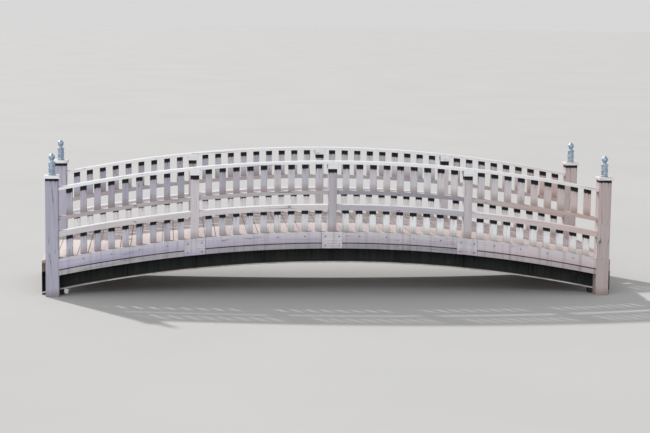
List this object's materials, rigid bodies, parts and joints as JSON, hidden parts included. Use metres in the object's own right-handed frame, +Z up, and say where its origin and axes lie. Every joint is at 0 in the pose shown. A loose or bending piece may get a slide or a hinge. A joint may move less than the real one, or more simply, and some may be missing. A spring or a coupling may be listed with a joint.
{
  "type": "low arched timber garden footbridge",
  "caption": "Low arched garden footbridge on curved steel girders, with timber deck, fascia, two-row baluster railings and capped newel posts.",
  "frame": {"origin": "on the ground, midway between the four newel posts", "axes": "+X along the bridge, +Y across it, away from the near railing, +Z up"},
  "size_m": [8.02, 2.22, 1.9842],
  "materials": {
    "weathered_timber": "silver-grey weathered timber, rough sawn",
    "sunlit_timber": "bleached weathered timber, planed and rounded by weather",
    "deck_boards": "worn crosswise boards, dry and dusty",
    "structural_timber": "rough treated timber in shade",
    "girder_steel": "dark oil paint, dull and dusty",
    "finial_metal": "zinc-grey oxidised sheet, dull"
  },
  "bodies": {
    "root": {"near_girder": "girder_steel", "far_girder": "girder_steel", "left_bearing_shoes": "girder_steel", "right_bearing_shoes": "girder_steel", "cross_beams": "girder_steel", "near_post_cleats": "girder_steel", "far_post_cleats": "girder_steel", "near_nailer": "structural_timber", "far_nailer": "structural_timber", "middle_stringer": "structural_timber", "near_rim_beam": "structural_timber", "far_rim_beam": "structural_timber", "deck": "deck_boards", "near_fascia": "sunlit_timber", "near_lower_strip": "sunlit_timber", "near_splice_blocks": "sunlit_timber", "near_saddles": "sunlit_timber", "near_top_rail": "sunlit_timber", "near_posts": "weathered_timber", "near_upper_mid_rail": "weathered_timber", "near_lower_mid_rail": "weathered_timber", "near_upper_balusters": "weathered_timber", "near_lower_balusters": "weathered_timber", "near_left_newel": "weathered_timber", "near_left_cap": "sunlit_timber", "near_left_finial": "finial_metal", "near_right_newel": "weathered_timber", "near_right_cap": "sunlit_timber", "near_right_finial": "finial_metal", "far_fascia": "sunlit_timber", "far_lower_strip": "sunlit_timber", "far_splice_blocks": "sunlit_timber", "far_saddles": "sunlit_timber", "far_top_rail": "sunlit_timber", "far_posts": "weathered_timber", "far_upper_mid_rail": "weathered_timber", "far_lower_mid_rail": "weathered_timber", "far_upper_balusters": "weathered_timber", "far_lower_balusters": "weathered_timber", "far_left_newel": "weathered_timber", "far_left_cap": "sunlit_timber", "far_left_finial": "finial_metal", "far_right_newel": "weathered_timber", "far_right_cap": "sunlit_timber", "far_right_finial": "finial_metal"}
  },
  "joints": []
}
